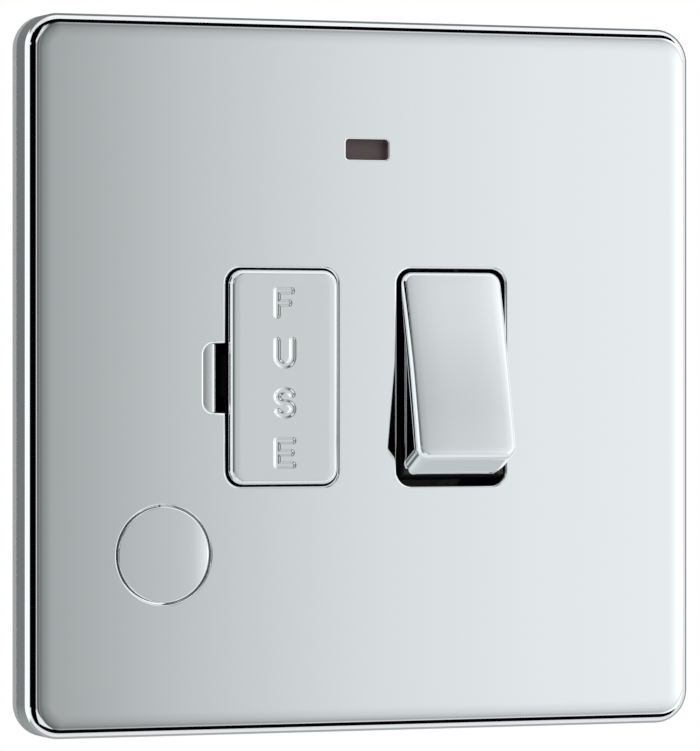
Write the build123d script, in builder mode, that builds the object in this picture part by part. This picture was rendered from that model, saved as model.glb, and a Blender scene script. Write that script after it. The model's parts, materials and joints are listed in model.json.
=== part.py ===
from build123d import *

import os
from math import cos, hypot, radians, sin, tan

# Fused connection unit: a switched spur outlet with a flat clip-on front plate.
# X runs right, Z up and Y into the wall, seen from the front, in millimetres.
# The origin is on the wall's face, midway between the two fixing holes.
os.makedirs("parts", exist_ok=True)

# Front plate, pressed from sheet
plate_width = 88.0
plate_height = 88.0
plate_stand = 6.1
plate_sheet = 1.0
plate_corner_r = 4.2
plate_edge_r = 1.25
opening_edge_r = 0.4

# Mounting frame
rim_depth = 1.4
rim_gap = 0.35
upstand_clear = 0.2
upstand_wall = 1.6
upstand_gap = 0.3
web = 1.8
rib = 1.2
rib_height = 1.4
rib_offset = 14.0
grip_height = 0.12
grip_width = 3.0
grip_offset = 25.0
pry_slot_width = 9.0
pry_slot_height = 0.9
pocket_size = 9.0
pocket_depth = 0.8
pocket_round = 1.0
pocket_x = 34.5
pocket_z = (13.0, 24.0, 35.0)
low_pocket_x = (0.5, 11.5, 22.5)
low_pocket_z = (-35.0, -24.4)
fixing_spacing = 60.3
fixing_hole_r = 2.0
fixing_head_r = 3.4
fixing_boss_r = 4.6
fixing_boss_height = 3.2
module_gap = 0.2
hook_width = 4.0
hook_thick = 1.6
hook_barb = 0.8
hook_gap = 0.15
hook_length = 4.2
hook_low = 17.0
hook_high = 15.0

# Openings for the fuse carrier and the rocker
column_x = 11.25
opening_z = -0.15
fuse_opening_r = 1.9
rocker_opening_r = 1.9
pry_width = 2.85
pry_height = 8.4
pry_z = -0.25
pry_corner_r = 1.3
pry_ramp_width = 2.0
pry_ramp_drop = 0.1
pry_ramp_thick = 0.7
pry_ramp_root = 1.0
pry_ramp_start = 0.1
pry_floor_y = -2.0

# Flex outlet with its knock-out disc
outlet_x = -26.6
outlet_z = -21.8
knockout_r = 6.0
knockout_slit = 0.35
knockout_tab = 0.76
outlet_bore_r = 6.6
outlet_collar_wall = 1.2
outlet_relief_gap = 0.8

# Indicator
lens_z = 28.05
lens_opening_width = 5.6
lens_opening_height = 2.5
lens_opening_r = 0.4
lens_margin = 0.4
lens_fit = 0.1
lens_panel = 2.5
lens_flange = 1.2
lens_flange_thick = 0.8
lamp_r = 2.2
lamp_length = 11.0
lamp_gap = 0.3
lamp_rib_x = 5.0
lamp_rib = 0.9
lamp_room_width = 17.0
lamp_room_height = 6.4
resistor_r = 1.15
resistor_length = 7.0
resistor_gap = 0.95
lead_r = 0.45
lead_room = 0.35
lead_bend = 0.8
lead_column = 1.5
lead_step = 0.55
lead_jog = 2.4
lead_drop = 1.0
lamp_lead = 1.9
resistor_lead = 1.6

# Module: the black front moulding and the housing behind it
nose_half = 21.3
nose_low = -18.3
nose_high = 32.4
nose_gap = 0.2
flange_side = 3.2
flange_end = 2.2
flange_thick = 2.2
body_margin = 1.6
body_depth = 9.0
deck_thick = 2.5
housing_high = 27.0
housing_depth = 23.0
module_corner_r = 2.0
housing_round = 0.6
core_wall = 1.7
core_depth = 5.0
core_round = 1.0
running = 0.08
overrun = 1.0

# Rocker
rocker_width = 13.5
rocker_tilt = 12.5
rocker_pivot_y = -2.3
rocker_face = 7.2
rocker_half_face = 11.7
rocker_half_skirt = 13.0
rocker_skirt = 1.9
rocker_wall = 0.9
rocker_round = 0.7
rocker_corner_r = 1.6
rocker_edge_gap = 0.5
rocker_gap = 0.1
rocker_tail = 1.5
rocker_side_clear = 0.8
rocker_end_clear = 1.4
rocker_pocket = 3.2
pin_r = 1.5
pin_engage = 1.2
pin_end_gap = 0.2
leg_r = 2.4
leg_length = 9.0
plunger_r = 1.5
plunger_tip_r = 1.2
plunger_top = 5.6
plunger_gap = 0.12
spring_r = 1.1
spring_wire = 0.35
spring_turns = 4
spring_seat = 1.0
spring_gap = 0.1

# Switch levers and contact strips
pole_offset = 3.6
lever_width = 3.2
lever_thick = 0.8
lever_half = 8.0
lever_rise = 12.0
lever_tilt = 10.0
lever_pivot_y = 12.2
strip = 0.8
strip_width = 3.0
chamber_floor = 14.0
chamber_low = -9.8
chamber_high = 13.2
chamber_left = 8.6
chamber_right = 7.0
contact_r = 1.2
contact_arm = 7.0
contact_rivet = 0.5
contact_pad = 0.2
ear_thick = 0.6
ear_gap = 0.25
ear_height = 2.0
slot_gap = 0.15

# Fuse, its carrier and its clips
fuse_length = 25.4
fuse_r = 3.17
fuse_tube_r = 2.92
fuse_cap_length = 5.6
fuse_cap_end = 0.5
fuse_cap_fit = 0.03
fuse_cap_round = 0.3
fuse_y = 2.5
carrier_width = 14.2
carrier_end = 0.5
carrier_gap = 0.2
carrier_proud = 1.0
carrier_round = 0.8
carrier_corner_r = 1.6
carrier_face_thick = 1.2
carrier_side = 0.45
carrier_skirt = 2.2
drawer_gap = 0.1
drawer_plate = 1.5
cradle_half = 4.3
cradle_gap = 0.7
cradle_end_y = 4.6
cradle_mouth = 5.2
arm_thick = 1.2
arm_half = 2.6
arm_end_y = 15.0
barb = 0.5
barb_length = 2.0
slide_travel = 14.0
well_clear = 0.2
well_end_clear = 0.5
arm_clear = 0.35
clip_width = 4.5
clip_inset = 0.05
clip_lip = 0.7
clip_lip_y = 0.2
clip_lip_length = 1.1

# Terminals
block_width = 7.5
block_height = 8.0
block_front_y = 11.5
block_depth = 9.0
block_chamfer = 0.4
wire_r = 2.1
wire_length = 6.5
wire_y = 14.6
screw_r = 1.7
screw_fit = 0.05
screw_head_r = 2.9
screw_head = 1.8
screw_slot = 0.8
screw_slot_depth = 0.9
screw_lift = 0.3
supply_z = 20.5
load_z = -15.0
pocket_gap = 0.2
earth_x = (-17.3, -8.0)
supply_live_x = 4.8
load_live_x = -3.5
neutral_x = 14.0
strap_width = 4.0
strap_front_y = 13.0
strap_round = 1.0
strap_gap = 0.1
finger_left = -27.2
finger_right = -24.9

# Flex clamp
clamp_x = -11.5
clamp_z = -28.4
clamp_half_spacing = 5.2
clamp_boss_r = 2.3
clamp_boss_height = 6.0
clamp_bar_width = 5.0
clamp_bar_thick = 2.0
clamp_bar_rise = 1.4
clamp_arch_half = 2.8
clamp_screw_r = 1.3
clamp_head_r = 2.3
clamp_screw_length = 6.0
clamp_round = 2.0

# Case screws
case_screw_r = 1.3
case_head_r = 2.0
case_head = 1.5
case_screw_length = 8.5
case_slot = 2.8
case_tip_gap = 0.5
case_screw_spots = [(-12.6, 30.1), (19.6, 30.1), (-13.5, -16.9), (20.4, -16.9)]

# Places worked out from the sizes above
face_y = -plate_stand
sheet_back_y = face_y + plate_sheet
skirt_end_y = -(rim_depth + rim_gap)
upstand_end_y = sheet_back_y + upstand_gap
upstand_inset = plate_sheet + upstand_clear
tray_inset = upstand_inset + upstand_wall
nose_front_y = sheet_back_y + nose_gap
nose_mid = (nose_low + nose_high) / 2
nose_height = nose_high - nose_low
flange_half = nose_half + flange_side
body_half = nose_half + body_margin
body_low = nose_low - body_margin / 2
body_high = nose_high + body_margin / 2
body_mid = (body_low + body_high) / 2
deck_back_y = body_depth + deck_thick
relief_r = outlet_bore_r + outlet_collar_wall + outlet_relief_gap
fuse_x = -column_x
rocker_x = column_x
carrier_height = fuse_length + 2 * carrier_end
fuse_opening_width = carrier_width + 2 * carrier_gap
fuse_opening_height = carrier_height + 2 * carrier_gap
rocker_opening_width = rocker_width + 2 * rocker_edge_gap
rocker_opening_height = 2 * (rocker_half_skirt + rocker_edge_gap)
pry_left = fuse_x - fuse_opening_width / 2 - pry_width
cradle_reach = fuse_length / 2 - fuse_cap_length - cradle_gap
clip_z = (fuse_length - fuse_cap_length) / 2 - clip_inset
well_width = carrier_width + 2 * well_clear
well_height = carrier_height + 2 * well_end_clear
rocker_well_width = rocker_width + 2 * rocker_side_clear
rocker_well_height = 2 * (rocker_half_skirt + rocker_end_clear)
pin_reach = rocker_well_width / 2 + pin_engage
pole_x = {"live": rocker_x - pole_offset, "neutral": rocker_x + pole_offset}
strip_front_y = chamber_floor - strip
link_front_y = body_depth - strip
block_back_y = block_front_y + block_depth
supply_low = supply_z - block_height / 2
load_high = load_z + block_height / 2
lead_z = load_z - lead_drop
strap_low = supply_low - strip
strap_right = earth_x[1] + block_width / 2 - overrun
carrier_face_y = face_y - carrier_proud
carrier_back_y = carrier_face_y + carrier_skirt
drawer_front_y = carrier_face_y + carrier_face_thick
drawer_back_y = drawer_front_y + drawer_plate
arm_outer = well_width / 2 - arm_clear
barb_reach = arm_outer + barb
barb_slot_half = barb_reach + arm_clear / 2
barb_stop_y = arm_end_y - barb_length - slide_travel
room_front_y = nose_front_y + lens_panel
lens_back_y = room_front_y + lens_flange_thick
lamp_y = lens_back_y + lamp_gap + lamp_r
resistor_depth = lamp_y + lamp_r + resistor_gap + resistor_r
clip_half = fuse_r + running + strip
clip_base_y = link_front_y - strip
plunger_tip = lever_pivot_y - lever_thick / 2 - plunger_gap - rocker_pivot_y


def wall_plane(y):
    """Plane parallel to the wall at depth y: what is extruded from it comes forwards."""
    return Plane.XZ.offset(-y)


def slab(width, height, y_back, y_front, spots=((0, 0),), corner_r=0, mode=Mode.ADD):
    """Rectangle at each (x, z) spot, extruded forwards from y_back to y_front."""
    with BuildSketch(wall_plane(y_back)) as outline:
        with Locations(*spots):
            if corner_r:
                RectangleRounded(width, height, corner_r)
            else:
                Rectangle(width, height)
    extrude(outline.sketch, amount=y_back - y_front, mode=mode)


def span(x_low, x_high, z_low, z_high, y_back, y_front, mode=Mode.ADD):
    """Rectangle between two x and two z limits, extruded forwards from y_back to y_front."""
    middle = ((x_low + x_high) / 2, (z_low + z_high) / 2)
    slab(x_high - x_low, z_high - z_low, y_back, y_front, [middle], mode=mode)


def rod(radius, y_back, y_front, spots, mode=Mode.ADD):
    """Round bar or hole at each (x, z) spot, square to the wall."""
    with BuildSketch(wall_plane(y_back)) as outline:
        with Locations(*spots):
            Circle(radius)
    extrude(outline.sketch, amount=y_back - y_front, mode=mode)


def save(piece, name):
    """Label a finished piece and write it to its own file."""
    piece.part.label = name
    export_step(piece.part, f"parts/{name}.step")


# Front plate: a shallow pressed tray with five openings and the knock-out's slit
with BuildPart() as front_plate:
    slab(plate_width, plate_height, skirt_end_y, face_y, corner_r=plate_corner_r)
    fillet(front_plate.faces().sort_by(Axis.Y)[0].edges(), plate_edge_r)
    slab(
        plate_width - 2 * plate_sheet,
        plate_height - 2 * plate_sheet,
        skirt_end_y,
        sheet_back_y,
        corner_r=plate_corner_r - plate_sheet,
        mode=Mode.SUBTRACT,
    )
    with BuildSketch(wall_plane(sheet_back_y)):
        with Locations((rocker_x, opening_z)):
            RectangleRounded(rocker_opening_width, rocker_opening_height, rocker_opening_r)
        with Locations((0, lens_z)):
            RectangleRounded(lens_opening_width, lens_opening_height, lens_opening_r)
        with Locations((fuse_x, opening_z)):
            RectangleRounded(fuse_opening_width, fuse_opening_height, fuse_opening_r)
        with Locations((pry_left + (pry_width + fuse_opening_r) / 2, pry_z)):
            RectangleRounded(pry_width + fuse_opening_r, pry_height, pry_corner_r)
    extrude(amount=plate_sheet, mode=Mode.SUBTRACT)
    opening_edges = front_plate.faces().sort_by(Axis.Y)[0].inner_wires().edges()
    fillet(opening_edges, opening_edge_r)
    with BuildSketch(wall_plane(sheet_back_y)):
        with Locations((outlet_x, outlet_z)):
            Circle(knockout_r + knockout_slit / 2)
            Circle(knockout_r - knockout_slit / 2, mode=Mode.SUBTRACT)
        with Locations((outlet_x, outlet_z + knockout_r)):
            Rectangle(knockout_tab, 4 * knockout_slit, mode=Mode.SUBTRACT)
    extrude(amount=plate_sheet, mode=Mode.SUBTRACT)
    with BuildSketch(Plane.XY.offset(pry_z - pry_height / 2)):
        with BuildLine():
            Polyline(
                (pry_left - pry_ramp_root, sheet_back_y),
                (pry_left + pry_ramp_start, sheet_back_y),
                (pry_left + pry_ramp_width, sheet_back_y + pry_ramp_drop),
                (pry_left + pry_ramp_width, sheet_back_y + pry_ramp_drop + pry_ramp_thick),
                (pry_left + pry_ramp_start, sheet_back_y + pry_ramp_thick),
                (pry_left - pry_ramp_root, sheet_back_y + pry_ramp_thick),
                close=True,
            )
        make_face()
    extrude(amount=pry_height)
save(front_plate, "front_plate")

# Mounting frame: rim on the wall, upstand inside the plate's skirt, web with bosses and hooks
with BuildPart() as mounting_frame:
    slab(plate_width, plate_height, 0, -rim_depth, corner_r=plate_corner_r)
    upstand_width = plate_width - 2 * upstand_inset
    upstand_height = plate_height - 2 * upstand_inset
    upstand_r = plate_corner_r - upstand_inset
    slab(upstand_width, upstand_height, -rim_depth, upstand_end_y, corner_r=upstand_r)
    grips = [(0, -grip_offset), (0, grip_offset)]
    slab(upstand_width + 2 * grip_height, grip_width, -rim_depth, upstand_end_y, grips)
    grips = [(-grip_offset, 0), (grip_offset, 0)]
    slab(grip_width, upstand_height + 2 * grip_height, -rim_depth, upstand_end_y, grips)
    tray_width = plate_width - 2 * tray_inset
    tray_height = plate_height - 2 * tray_inset
    tray_r = upstand_r - upstand_wall
    slab(tray_width, tray_height, -web, upstand_end_y, corner_r=tray_r, mode=Mode.SUBTRACT)
    ribs = [(-rib_offset, 0), (rib_offset, 0)]
    slab(rib, tray_height, -web, -web - rib_height, ribs)
    ribs = [(0, nose_mid - rib_offset), (0, nose_mid + rib_offset)]
    slab(tray_width, rib, -web, -web - rib_height, ribs)
    ring_width = 2 * (nose_half + module_gap + rib)
    ring_height = nose_height + 2 * (module_gap + rib)
    ring_r = module_corner_r + module_gap + rib
    slab(ring_width, ring_height, -web, -web - rib_height, [(0, nose_mid)], ring_r)
    slab(
        2 * (nose_half + module_gap),
        nose_height + 2 * module_gap,
        0,
        upstand_end_y,
        [(0, nose_mid)],
        module_corner_r + module_gap,
        Mode.SUBTRACT,
    )
    fixings = [(-fixing_spacing / 2, 0), (fixing_spacing / 2, 0)]
    rod(fixing_boss_r, -web / 2, -fixing_boss_height, fixings)
    with Locations(wall_plane(-fixing_boss_height)):
        with Locations(*fixings):
            CounterSinkHole(fixing_hole_r, fixing_head_r, fixing_boss_height)
    outlet = [(outlet_x, outlet_z)]
    rod(outlet_bore_r + outlet_collar_wall, 0, upstand_end_y, outlet)
    rod(outlet_bore_r, 0, upstand_end_y, outlet, Mode.SUBTRACT)
    pry_slot_spot = [(0, -plate_height / 2)]
    pry_slot_back = -(rim_depth - pry_slot_height)
    slab(pry_slot_width, 2 * pry_slot_height, pry_slot_back, -rim_depth, pry_slot_spot, 0, Mode.SUBTRACT)
    pockets = [(pocket_x, side * z) for z in pocket_z for side in (-1, 1)]
    pockets += [(-pocket_x, z) for z in (-pocket_z[-1], *pocket_z)]
    pockets += [(x, z) for x in low_pocket_x for z in low_pocket_z]
    slab(pocket_size, pocket_size, 0, -pocket_depth, pockets, pocket_round, Mode.SUBTRACT)
    finger_gap = strip / 2
    span(
        finger_left - finger_gap,
        finger_right + finger_gap,
        strap_low - finger_gap,
        supply_low + finger_gap,
        0,
        -web,
        Mode.SUBTRACT,
    )
    clamp_spots = [(clamp_x, clamp_z - clamp_half_spacing), (clamp_x, clamp_z + clamp_half_spacing)]
    rod(clamp_boss_r, clamp_boss_height, -web / 2, clamp_spots)
    rod(clamp_screw_r + screw_fit, clamp_boss_height, 0, clamp_spots, Mode.SUBTRACT)
    for side in (-1, 1):
        for hook_z in (nose_mid - hook_low, nose_mid + hook_high):
            with BuildSketch(Plane.XY.offset(hook_z - hook_width / 2)):
                with BuildLine():
                    grip_x = flange_half + hook_gap
                    Polyline(
                        (side * grip_x, -web / 2),
                        (side * grip_x, flange_thick + hook_gap),
                        (side * (grip_x - hook_barb), flange_thick + hook_gap),
                        (side * grip_x, hook_length),
                        (side * (grip_x + hook_thick / 2), hook_length),
                        (side * (grip_x + hook_thick), -web / 2),
                        close=True,
                    )
                make_face()
            extrude(amount=hook_width)
save(mounting_frame, "mounting_frame")

# Front moulding: the black part that holds the rocker, the fuse carrier and the indicator
with BuildPart() as front_moulding:
    slab(2 * nose_half, nose_height, 0, nose_front_y, [(0, nose_mid)], module_corner_r)
    flange_height = nose_height + 2 * flange_end
    slab(2 * flange_half, flange_height, flange_thick, 0, [(0, nose_mid)], module_corner_r)
    body_height = body_high - body_low
    slab(2 * body_half, body_height, body_depth, flange_thick, [(0, body_mid)], module_corner_r)
    rod(relief_r, body_depth, nose_front_y, outlet, Mode.SUBTRACT)
    slab(
        rocker_well_width,
        rocker_well_height,
        body_depth,
        nose_front_y,
        [(rocker_x, 0)],
        rocker_opening_r,
        Mode.SUBTRACT,
    )
    fuse_well = [(fuse_x, opening_z)]
    slab(well_width, well_height, body_depth, nose_front_y, fuse_well, carrier_corner_r / 2, Mode.SUBTRACT)
    slab(
        2 * barb_slot_half,
        2 * (arm_half + arm_clear),
        body_depth,
        barb_stop_y,
        [(fuse_x, 0)],
        0,
        Mode.SUBTRACT,
    )
    with BuildSketch(Plane.YZ.offset(rocker_x)):
        with Locations((rocker_pivot_y, 0)):
            Circle(pin_r + running)
    extrude(amount=pin_reach + pin_end_gap, both=True, mode=Mode.SUBTRACT)
    span(
        -nose_half - overrun,
        fuse_x - well_width / 2 + overrun,
        pry_z - pry_height / 2 - running,
        pry_z + pry_height / 2 + running,
        pry_floor_y,
        nose_front_y,
        Mode.SUBTRACT,
    )
    lens_width = lens_opening_width + 2 * lens_margin
    lens_height = lens_opening_height + 2 * lens_margin
    lens_spot = [(0, lens_z)]
    hole_width = lens_width + 2 * lens_fit
    hole_height = lens_height + 2 * lens_fit
    slab(hole_width, hole_height, room_front_y, nose_front_y, lens_spot, 0, Mode.SUBTRACT)
    slab(lamp_room_width, lamp_room_height, body_depth, room_front_y, lens_spot, lamp_rib, Mode.SUBTRACT)
    rib_spots = [(-lamp_rib_x, lens_z), (lamp_rib_x, lens_z)]
    slab(lamp_rib, lamp_room_height, lamp_y + lamp_r / 2, room_front_y, rib_spots)
    with BuildSketch(Plane.YZ.offset(0)):
        with Locations((lamp_y, lens_z)):
            Circle(lamp_r + running)
        with Locations((lamp_y + lamp_r, lens_z)):
            Rectangle(2 * lamp_r, 2 * (lamp_r + running))
    extrude(amount=lamp_length / 2, both=True, mode=Mode.SUBTRACT)
    lead_low = lead_z - lead_r - lead_room
    lead_front_y = link_front_y - 2 * lead_r - lead_r - 2 * lead_room
    lead_half = lead_column + lead_r + lead_room
    span(-lead_half, lead_half, lead_low, lens_z, body_depth, lead_front_y, Mode.SUBTRACT)
    lead_high = lead_z + lead_r + lead_room
    lead_right = neutral_x + lead_half / 2
    span(-lead_half, lead_right, lead_low, lead_high, body_depth, lead_front_y, Mode.SUBTRACT)
    run_low = clip_z - strip_width / 2 - slot_gap
    run_high = clip_z + strip_width / 2 + slot_gap
    recess_y = link_front_y - slot_gap
    span(fuse_x, rocker_x, run_low, run_high, body_depth, recess_y, Mode.SUBTRACT)
    tab_right = load_live_x + strip_width / 2
    span(fuse_x, tab_right + slot_gap, -run_high, -run_low, body_depth, recess_y, Mode.SUBTRACT)
    span(
        tab_right - strip_width - slot_gap,
        tab_right + slot_gap,
        load_high - strip - slot_gap,
        -run_low,
        body_depth,
        recess_y,
        Mode.SUBTRACT,
    )
    screw_tip_y = deck_back_y - case_screw_length
    rod(case_screw_r + screw_fit, body_depth, screw_tip_y - case_tip_gap, case_screw_spots, Mode.SUBTRACT)
save(front_moulding, "front_moulding")

# Rear housing: holds the contacts in front and the terminals behind
with BuildPart() as rear_housing:
    slab(2 * body_half, body_height, deck_back_y, body_depth, [(0, body_mid)], module_corner_r)
    housing_mid = (body_low + housing_high) / 2
    housing_spot = [(0, housing_mid)]
    housing_height = housing_high - body_low
    slab(2 * body_half, housing_height, housing_depth, deck_back_y, housing_spot, module_corner_r)
    fillet(rear_housing.faces().sort_by(Axis.Y)[-1].edges(), housing_round)
    rod(relief_r, housing_depth, body_depth, outlet, Mode.SUBTRACT)
    core_width = (2 * body_half - 4 * core_wall) / 3
    core_height = (strap_low - load_high - 3 * core_wall) / 2
    core_mid = (strap_low + load_high) / 2
    core_rise = (core_height + core_wall) / 2
    core_x = [column * (core_width + core_wall) for column in (-1, 0, 1)]
    cores = [(x, core_mid + side * core_rise) for x in core_x for side in (-1, 1)]
    core_floor = housing_depth - core_depth
    slab(core_width, core_height, housing_depth, core_floor, cores, core_round, Mode.SUBTRACT)
    span(
        rocker_x - chamber_left,
        rocker_x + chamber_right,
        chamber_low,
        chamber_high,
        chamber_floor,
        body_depth,
        Mode.SUBTRACT,
    )
    pocket_half = block_width / 2 + pocket_gap
    for x in (*earth_x, supply_live_x, neutral_x):
        span(
            x - pocket_half,
            x + pocket_half,
            supply_low,
            housing_high,
            housing_depth,
            block_front_y,
            Mode.SUBTRACT,
        )
    for x in (load_live_x, neutral_x):
        span(
            x - pocket_half,
            x + pocket_half,
            body_low,
            load_high,
            housing_depth,
            block_front_y,
            Mode.SUBTRACT,
        )
    for x in pole_x.values():
        slot_low = x - lever_width / 2 - slot_gap
        slot_high = x + lever_width / 2 + slot_gap
        slot_y = strip_front_y - slot_gap
        span(slot_low, slot_high, chamber_high - overrun, supply_low, chamber_floor, slot_y, Mode.SUBTRACT)
    slot_low = pole_x["neutral"] - strip_width / 2 - slot_gap
    slot_high = pole_x["neutral"] + strip_width / 2 + slot_gap
    span(slot_low, slot_high, load_high, chamber_low + overrun, chamber_floor, slot_y, Mode.SUBTRACT)
    arm_mid = arm_outer - arm_thick / 2 + barb / 2
    arm_slots = [(fuse_x - arm_mid, 0), (fuse_x + arm_mid, 0)]
    arm_slot_width = arm_thick + barb + arm_clear
    arm_slot_height = 2 * (arm_half + arm_clear)
    arm_slot_y = arm_end_y + arm_clear
    slab(arm_slot_width, arm_slot_height, arm_slot_y, body_depth, arm_slots, 0, Mode.SUBTRACT)
    span(
        -body_half - overrun,
        earth_x[1] + block_width / 2,
        strap_low - slot_gap,
        supply_low + slot_gap,
        housing_depth,
        strap_front_y - slot_gap,
        Mode.SUBTRACT,
    )
    span(
        tab_right - strip_width - slot_gap,
        tab_right + slot_gap,
        load_high - strip - slot_gap,
        load_high + slot_gap,
        block_front_y,
        body_depth,
        Mode.SUBTRACT,
    )
    neutral_lead = [(neutral_x, lead_z)]
    rod(lead_r + slot_gap, block_front_y, body_depth, neutral_lead, Mode.SUBTRACT)
    rod(case_screw_r + slot_gap, deck_back_y, body_depth, case_screw_spots, Mode.SUBTRACT)
    lower_screws = case_screw_spots[2:]
    rod(case_head_r + slot_gap, housing_depth, deck_back_y, lower_screws, Mode.SUBTRACT)
save(rear_housing, "rear_housing")

# Screws that hold the housing to the front moulding
with BuildPart() as case_screws:
    rod(case_screw_r, deck_back_y, screw_tip_y, case_screw_spots)
    rod(case_head_r, deck_back_y + case_head, deck_back_y, case_screw_spots)
    head_back = deck_back_y + case_head
    slot_front = head_back - case_head / 2
    slab(case_slot, screw_slot, head_back, slot_front, case_screw_spots, 0, Mode.SUBTRACT)
    slab(screw_slot, case_slot, head_back, slot_front, case_screw_spots, 0, Mode.SUBTRACT)
save(case_screws, "case_screws")

# The rocker's own directions: along its face, out of its face, and its side plane
tilt = radians(rocker_tilt)
along_face = (0, sin(tilt), cos(tilt))
out_of_face = (0, -cos(tilt), sin(tilt))
into_switch = (0, cos(tilt), -sin(tilt))
rocker_pivot = (rocker_x, rocker_pivot_y, 0)
rocker_side = Plane(origin=rocker_pivot, x_dir=along_face, z_dir=(1, 0, 0))
rocker_front = Plane(origin=rocker_pivot, x_dir=(1, 0, 0), z_dir=out_of_face)
skirt_lean = (rocker_half_skirt - rocker_half_face) / (rocker_face - rocker_skirt)


def rocker_profile(inset, foot, top):
    """Side view of the rocker's head, drawn inside its outline by inset, from foot up to top."""
    slant = inset * hypot(1, skirt_lean)
    foot_half = rocker_half_skirt - skirt_lean * (foot - rocker_skirt) - slant
    top_half = rocker_half_skirt - skirt_lean * (top - rocker_skirt) - slant
    with BuildSketch(rocker_side) as profile:
        with BuildLine():
            Polyline((-foot_half, foot), (-top_half, top), (top_half, top), (foot_half, foot), close=True)
        make_face()
    return profile.sketch


# Rocker cap: plated shell
with BuildPart() as rocker_cap:
    extrude(rocker_profile(0, rocker_skirt, rocker_face), amount=rocker_width / 2, both=True)
    face_way = Axis((0, 0, 0), out_of_face)
    skirt_edges = rocker_cap.faces().sort_by(face_way)[0].edges()
    face_edges = rocker_cap.faces().sort_by(face_way)[-1].edges()
    fillet(rocker_cap.edges() - skirt_edges - face_edges, rocker_corner_r)
    fillet(rocker_cap.faces().sort_by(face_way)[-1].edges(), rocker_round)
    hollow = rocker_profile(rocker_wall, rocker_skirt, rocker_face - rocker_wall)
    extrude(hollow, amount=rocker_width / 2 - rocker_wall, both=True, mode=Mode.SUBTRACT)
save(rocker_cap, "rocker_cap")

# Rocker body: moulded carrier with its pivot pins and two plunger tubes
with BuildPart() as rocker_body:
    shell = rocker_wall + rocker_gap
    core = rocker_profile(shell, rocker_skirt, rocker_face - shell)
    extrude(core, amount=rocker_width / 2 - shell, both=True)
    with BuildSketch(rocker_side):
        Circle(rocker_half_skirt)
        with Locations((0, (rocker_skirt - rocker_tail) / 2)):
            Rectangle(2 * rocker_half_skirt, rocker_skirt + rocker_tail, mode=Mode.INTERSECT)
    extrude(amount=rocker_width / 2 - rocker_gap, both=True)
    pocket_end = rocker_half_skirt - 2 * rocker_wall
    with BuildSketch(rocker_front.offset(-rocker_tail)):
        with Locations((0, -(pocket_end + rocker_pocket) / 2), (0, (pocket_end + rocker_pocket) / 2)):
            Rectangle(rocker_width - 4 * rocker_wall, pocket_end - rocker_pocket)
    extrude(amount=rocker_tail + rocker_face - 3 * rocker_wall, mode=Mode.SUBTRACT)
    with BuildSketch(rocker_front.offset(-leg_length)):
        with Locations((-pole_offset, 0), (pole_offset, 0)):
            Circle(leg_r)
    extrude(amount=leg_length)
    with BuildSketch(rocker_side):
        Circle(pin_r)
    extrude(amount=pin_reach, both=True)
    with BuildSketch(rocker_front.offset(-leg_length)):
        with Locations((-pole_offset, 0), (pole_offset, 0)):
            Circle(plunger_r + running)
    extrude(amount=leg_length + spring_seat, mode=Mode.SUBTRACT)
save(rocker_body, "rocker_body")

# Plungers and their springs, one for each pole
for pole, x in pole_x.items():
    tube_plane = Plane(origin=(x, rocker_pivot_y, 0), x_dir=(1, 0, 0), z_dir=along_face)
    with BuildPart() as plunger:
        with BuildSketch(tube_plane):
            with BuildLine():
                tip_start = plunger_tip - plunger_tip_r
                waist = tip_start - plunger_tip_r / 2
                Polyline(
                    (0, plunger_tip),
                    (0, plunger_top),
                    (plunger_r, plunger_top),
                    (plunger_r, waist),
                    (plunger_tip_r, tip_start),
                )
                rounding = cos(radians(45)) * plunger_tip_r
                ThreePointArc(
                    (plunger_tip_r, tip_start),
                    (rounding, tip_start + rounding),
                    (0, plunger_tip),
                )
            make_face()
        revolve(axis=Axis((x, rocker_pivot_y, 0), into_switch))
    save(plunger, f"{pole}_plunger")

    with BuildPart() as spring:
        coil_length = plunger_top + spring_seat - 2 * spring_gap - spring_wire
        coil_start = spring_seat - spring_gap - spring_wire / 2
        start = [centre + coil_start * out for centre, out in zip((x, rocker_pivot_y, 0), out_of_face)]
        with BuildLine() as coil:
            Helix(coil_length / spring_turns, coil_length, spring_r, start, into_switch)
        with BuildSketch(Plane(origin=coil.line @ 0, z_dir=coil.line % 0)):
            Circle(spring_wire / 2)
        sweep(path=coil.line, is_frenet=True)
    save(spring, f"{pole}_plunger_spring")

# Switch levers: dished strips that the plungers tip over, with a contact rivet at the top end
lever_turn = radians(lever_tilt)
arm_turn = radians(lever_tilt + lever_rise)
for pole, x in pole_x.items():
    lever_pivot = Vector(x, lever_pivot_y, 0)
    lever_side = Plane(origin=lever_pivot, x_dir=(0, cos(lever_turn), sin(lever_turn)), z_dir=(1, 0, 0))
    end_rise = lever_half * tan(radians(lever_rise))
    with BuildPart() as lever:
        with BuildSketch(lever_side):
            with BuildLine():
                Polyline(
                    (-lever_thick / 2, 0),
                    (-lever_thick / 2 - end_rise, lever_half),
                    (lever_thick / 2 - end_rise, lever_half),
                    (lever_thick / 2, 0),
                    (lever_thick / 2 - end_rise, -lever_half),
                    (-lever_thick / 2 - end_rise, -lever_half),
                    close=True,
                )
            make_face()
        extrude(amount=lever_width / 2, both=True)
        rivet_spot = lever_pivot + Vector(0, -sin(arm_turn), cos(arm_turn)) * contact_arm
        with BuildSketch(Plane(origin=rivet_spot, x_dir=(1, 0, 0), z_dir=(0, cos(arm_turn), sin(arm_turn)))):
            Circle(contact_r)
        extrude(amount=lever_thick / 2 + contact_rivet)
    save(lever, f"{pole}_lever")

    with BuildPart() as fixed_contact:
        contact_z = contact_arm * cos(radians(lever_rise - lever_tilt))
        tongue_low = contact_z - lever_width / 2
        span(x - lever_width / 2, x + lever_width / 2, tongue_low, supply_low, chamber_floor, strip_front_y)
        rod(contact_r, strip_front_y, strip_front_y - contact_pad, [(x, contact_z)])
    save(fixed_contact, f"{pole}_fixed_contact")


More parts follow.
